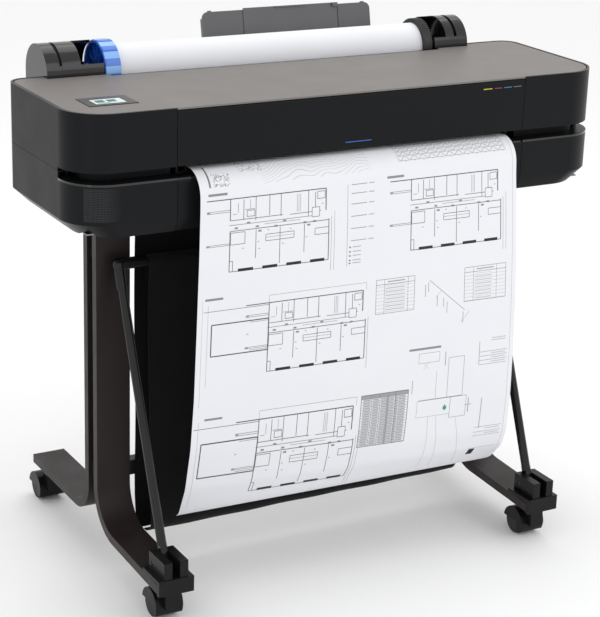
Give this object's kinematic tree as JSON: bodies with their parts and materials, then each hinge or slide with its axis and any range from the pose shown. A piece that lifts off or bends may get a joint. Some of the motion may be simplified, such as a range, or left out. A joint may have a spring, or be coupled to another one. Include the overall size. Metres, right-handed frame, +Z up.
{
  "type": "large format plotter",
  "caption": "Free-standing roll-fed inkjet plotter on a wheeled two-leg stand, with a swing-out fabric media basket, rear roll spindle, sheet tray and hinged front door.",
  "frame": {"origin": "bottom centre of the overall box, on the floor under the middle of the stand", "axes": "+X to the machine's right seen from the front, -Y towards the front where the sheet comes out, +Z up"},
  "size_m": [1.013, 0.6048, 0.9279],
  "materials": {
    "housing": "satin dark charcoal",
    "deck": "satin warm grey",
    "gloss_black": "glossy black",
    "blue_plastic": "glossy blue",
    "paper": "matt white",
    "tray_grey": "satin grey",
    "screen": "gloss",
    "steel": "brushed",
    "engine_plastic": "matt",
    "rubber_grey": "matt",
    "rubber_black": "matt",
    "ink_plastic": "satin",
    "board": "satin",
    "motor": "satin",
    "stand_metal": "satin dark bronze",
    "caster_plastic": "satin black",
    "caster_tread": "matt",
    "rod_black": "gloss black",
    "fabric": "woven black",
    "galvanised": "satin"
  },
  "bodies": {
    "printer": {"base_pan": "galvanised", "side_frames": "galvanised", "power_supply": "galvanised", "lower_cover_left": "housing", "lower_cover_right": "housing", "lower_front_panel": "housing", "upper_cover_left": "housing", "upper_cover_right": "housing", "rear_cover": "housing", "roll_tray": "housing", "top_deck": "deck", "roll_support_left": "gloss_black", "roll_support_right": "gloss_black", "panel_bezel": "gloss_black", "guide_beam": "steel", "guide_rod": "steel", "screws": "steel", "platen": "engine_plastic", "service_station": "engine_plastic", "ink_bay": "engine_plastic", "power_inlet": "engine_plastic", "printed_sheet": "paper", "sheet_tray": "tray_grey", "touchscreen": "screen", "drive_belt": "rubber_black", "carriage_motor": "motor", "feed_motor": "motor", "ink_cartridges": "ink_plastic", "main_board": "board", "front_leg_left": "stand_metal", "front_leg_right": "stand_metal", "rear_leg_left": "stand_metal", "rear_leg_right": "stand_metal", "cross_bar": "stand_metal", "foot_brackets": "stand_metal", "basket_rear_fabric": "fabric"},
    "door": {"front_door": "housing"},
    "spindle": {"spindle_shaft": "motor", "blue_hub": "blue_plastic", "black_hub": "engine_plastic", "paper_roll": "paper"},
    "feed": {"feed_roller": "rubber_grey"},
    "pinch": {"pinch_rollers": "rubber_grey"},
    "carriage": {"carriage": "engine_plastic"},
    "idler": {"idler_pulley": "steel"},
    "motor_shaft": {"motor_pulley": "steel"},
    "extension": {"tray_extension": "tray_grey"},
    "switch": {"power_switch": "engine_plastic"},
    "basket": {"basket_rod_left": "rod_black", "basket_rod_right": "rod_black", "basket_bar": "rod_black", "basket_front_fabric": "fabric"},
    "caster_front_left": {"caster_hood_front_left": "caster_plastic"},
    "wheels_front_left": {"caster_wheels_front_left": "caster_tread"},
    "caster_front_right": {"caster_hood_front_right": "caster_plastic"},
    "wheels_front_right": {"caster_wheels_front_right": "caster_tread"},
    "caster_rear_left": {"caster_hood_rear_left": "caster_plastic"},
    "wheels_rear_left": {"caster_wheels_rear_left": "caster_tread"},
    "caster_rear_right": {"caster_hood_rear_right": "caster_plastic"},
    "wheels_rear_right": {"caster_wheels_rear_right": "caster_tread"}
  },
  "joints": [
    {"name": "door_swing", "type": "hinge", "parent": "printer", "child": "door", "pos_m": [0, -0.206, 0.8496], "axis": [-1, 0, 0], "range_deg": [0, 80]},
    {"name": "roll_spin", "type": "hinge", "parent": "printer", "child": "spindle", "pos_m": [0, 0.118, 0.856], "axis": [1, 0, 0], "continuous": true},
    {"name": "feed_spin", "type": "hinge", "parent": "printer", "child": "feed", "pos_m": [0, 0.014, 0.74215], "axis": [1, 0, 0], "continuous": true},
    {"name": "pinch_spin", "type": "hinge", "parent": "printer", "child": "pinch", "pos_m": [0, 0.014, 0.76125], "axis": [1, 0, 0], "continuous": true},
    {"name": "carriage_slide", "type": "slide", "parent": "printer", "child": "carriage", "axis": [1, 0, 0], "range_m": [-0.78, 0]},
    {"name": "idler_spin", "type": "hinge", "parent": "printer", "child": "idler", "pos_m": [-0.466, -0.016, 0.785], "axis": [0, 1, 0], "continuous": true},
    {"name": "motor_spin", "type": "hinge", "parent": "printer", "child": "motor_shaft", "pos_m": [0.466, -0.016, 0.785], "axis": [0, 1, 0], "continuous": true},
    {"name": "extension_slide", "type": "slide", "parent": "printer", "child": "extension", "axis": [0, 0.2079, 0.9781], "range_m": [0, 0.035]},
    {"name": "switch_rock", "type": "hinge", "parent": "printer", "child": "switch", "pos_m": [0.365, 0.176, 0.703], "axis": [-1, 0, 0], "range_deg": [0, 14]},
    {"name": "basket_swing", "type": "hinge", "parent": "printer", "child": "basket", "pos_m": [0, -0.254, 0.1], "axis": [1, 0, 0], "range_deg": [0, 45], "deforming": ["printed_sheet"]},
    {"name": "swivel_front_left", "type": "hinge", "parent": "printer", "child": "caster_front_left", "pos_m": [-0.3715, -0.274, 0.06], "axis": [0, 0, 1], "continuous": true},
    {"name": "wheel_front_left", "type": "hinge", "parent": "caster_front_left", "child": "wheels_front_left", "pos_m": [-0.3715, -0.248, 0.024], "axis": [1, 0, 0], "continuous": true},
    {"name": "swivel_front_right", "type": "hinge", "parent": "printer", "child": "caster_front_right", "pos_m": [0.3715, -0.274, 0.06], "axis": [0, 0, 1], "continuous": true},
    {"name": "wheel_front_right", "type": "hinge", "parent": "caster_front_right", "child": "wheels_front_right", "pos_m": [0.3715, -0.248, 0.024], "axis": [1, 0, 0], "continuous": true},
    {"name": "swivel_rear_left", "type": "hinge", "parent": "printer", "child": "caster_rear_left", "pos_m": [-0.3715, 0.2485, 0.06], "axis": [0, 0, 1], "continuous": true},
    {"name": "wheel_rear_left", "type": "hinge", "parent": "caster_rear_left", "child": "wheels_rear_left", "pos_m": [-0.3715, 0.2745, 0.024], "axis": [1, 0, 0], "continuous": true},
    {"name": "swivel_rear_right", "type": "hinge", "parent": "printer", "child": "caster_rear_right", "pos_m": [0.3715, 0.2485, 0.06], "axis": [0, 0, 1], "continuous": true},
    {"name": "wheel_rear_right", "type": "hinge", "parent": "caster_rear_right", "child": "wheels_rear_right", "pos_m": [0.3715, 0.2745, 0.024], "axis": [1, 0, 0], "continuous": true}
  ],
  "couplings": [
    {"joint": "pinch_spin", "follows": "feed_spin", "ratio": -2},
    {"joint": "idler_spin", "follows": "carriage_slide", "rad_per_m": 107.53},
    {"joint": "motor_spin", "follows": "carriage_slide", "rad_per_m": 107.53}
  ]
}
